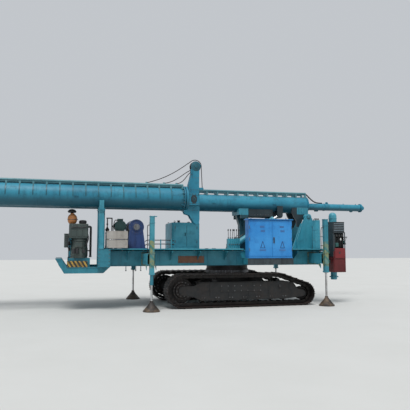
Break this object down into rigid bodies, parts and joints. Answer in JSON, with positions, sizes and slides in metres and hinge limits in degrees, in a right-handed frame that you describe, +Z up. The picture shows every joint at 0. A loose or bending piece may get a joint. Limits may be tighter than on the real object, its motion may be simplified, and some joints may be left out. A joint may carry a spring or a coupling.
{
  "type": "pile driver rig",
  "caption": "Crawler pile driver rig in travel position: folding tubular mast laid back over a slewing deck with jack legs, winch and cabinets.",
  "frame": {"origin": "ground level, at the middle of the rig's length and width", "axes": "+X to the front of the machine, where the mast is hinged; +Y to its left; +Z up"},
  "size_m": [16.45, 3.9896, 4.1744],
  "materials": {
    "teal_paint": "satin, weathered",
    "deck_paint": "satin, dusty",
    "track_steel": "worn, muddy",
    "frame_steel": "matt, oily",
    "machined_steel": "machined",
    "blue_paint": "semi-gloss",
    "navy_paint": "semi-gloss",
    "green_paint": "satin",
    "beige_paint": "satin",
    "orange_paint": "satin",
    "red_paint": "satin",
    "wire_rope": "greased",
    "chrome_rod": "polished"
  },
  "bodies": {
    "undercarriage": {"carbody": "frame_steel", "slew_ring": "machined_steel", "track_frame_left": "frame_steel", "track_frame_right": "frame_steel", "track_wheels_left": "track_steel", "track_wheels_right": "track_steel", "track_left": "track_steel", "track_right": "track_steel"},
    "platform": {"turntable": "machined_steel", "main_deck": "deck_paint", "rear_tray": "teal_paint", "side_walkways": "teal_paint", "leg_beams": "teal_paint", "leg_housings": "teal_paint", "mast_rest_rear": "teal_paint", "mast_rest_front": "deck_paint", "mast_pedestals": "teal_paint", "ram_brackets": "deck_paint", "hydraulic_hood": "teal_paint", "electric_cabinet": "blue_paint", "winch_frame": "navy_paint", "winch_motor": "green_paint", "winch_brake": "frame_steel", "resistor_boxes": "beige_paint", "engine": "frame_steel", "air_cleaner": "orange_paint", "exhaust_pipe": "frame_steel", "fuel_tank": "deck_paint", "cooler_box": "deck_paint", "control_console": "red_paint", "pump_column": "teal_paint"},
    "cabinet_door_rear": {"cabinet_door_rear": "blue_paint"},
    "cabinet_door_front": {"cabinet_door_front": "blue_paint"},
    "winch_drum": {"winch_drum": "machined_steel"},
    "jack_rear_left": {"jack_rear_left": "chrome_rod"},
    "jack_rear_right": {"jack_rear_right": "chrome_rod"},
    "jack_front_left": {"jack_front_left": "chrome_rod"},
    "jack_front_right": {"jack_front_right": "chrome_rod"},
    "mast_lower": {"mast_lower_tube": "teal_paint", "mast_lower_rails": "teal_paint", "mast_heel": "deck_paint", "strut": "teal_paint", "strut_clamps": "deck_paint"},
    "mast_upper": {"mast_upper_tube": "teal_paint", "mast_upper_rails": "teal_paint", "mast_rest_shoe": "teal_paint", "crown_head": "teal_paint", "crown_rope_long": "wire_rope", "crown_rope_middle": "wire_rope", "crown_rope_short": "wire_rope"},
    "crown_sheaves": {"crown_sheaves": "track_steel"},
    "raise_barrels": {"raise_barrels": "teal_paint"},
    "raise_rods": {"raise_rods": "chrome_rod"}
  },
  "joints": [
    {"name": "slew", "type": "hinge", "parent": "undercarriage", "child": "platform", "pos_m": [3.045, 0, 1.03], "axis": [0, 0, 1], "continuous": true},
    {"name": "mast_raise", "type": "hinge", "parent": "platform", "child": "mast_lower", "pos_m": [5.63, 0, 2.64], "axis": [0, 1, 0], "range_deg": [0, 90]},
    {"name": "mast_fold", "type": "hinge", "parent": "mast_lower", "child": "mast_upper", "pos_m": [-8.155, -0.5, 3.045], "axis": [0, 0, -1], "range_deg": [0, 180]},
    {"name": "crown_sheaves", "type": "hinge", "parent": "mast_upper", "child": "crown_sheaves", "pos_m": [1.748, -1.05, 3.978], "axis": [0, 1, 0], "continuous": true},
    {"name": "ram_tilt", "type": "hinge", "parent": "platform", "child": "raise_barrels", "pos_m": [3.23, 0, 1.74], "axis": [0, -1, 0], "range_deg": [0, 8.6]},
    {"name": "ram_stroke", "type": "slide", "parent": "raise_barrels", "child": "raise_rods", "axis": [0.8448, 0, 0.5351], "range_m": [0, 1.25]},
    {"name": "winch_drum", "type": "hinge", "parent": "platform", "child": "winch_drum", "pos_m": [0.089, -0.54, 2.23], "axis": [0, 1, 0], "continuous": true},
    {"name": "cabinet_door_rear", "type": "hinge", "parent": "platform", "child": "cabinet_door_rear", "pos_m": [3.243, -1.452, 1.925], "axis": [0, 0, -1], "range_deg": [0, 110]},
    {"name": "cabinet_door_front", "type": "hinge", "parent": "platform", "child": "cabinet_door_front", "pos_m": [4.567, -1.452, 1.925], "axis": [0, 0, 1], "range_deg": [0, 110]},
    {"name": "jack_rear_left", "type": "slide", "parent": "platform", "child": "jack_rear_left", "axis": [0, 0, 1], "range_m": [-0.2, 0.6]},
    {"name": "jack_rear_right", "type": "slide", "parent": "platform", "child": "jack_rear_right", "axis": [0, 0, 1], "range_m": [-0.2, 0.6]},
    {"name": "jack_front_left", "type": "slide", "parent": "platform", "child": "jack_front_left", "axis": [0, 0, 1], "range_m": [-0.2, 0.6]},
    {"name": "jack_front_right", "type": "slide", "parent": "platform", "child": "jack_front_right", "axis": [0, 0, 1], "range_m": [-0.2, 0.6]}
  ],
  "couplings": [
    {"joint": "ram_tilt", "follows": "mast_raise", "ratio": 0.095},
    {"joint": "ram_stroke", "follows": "mast_raise", "m_per_rad": 0.795}
  ]
}
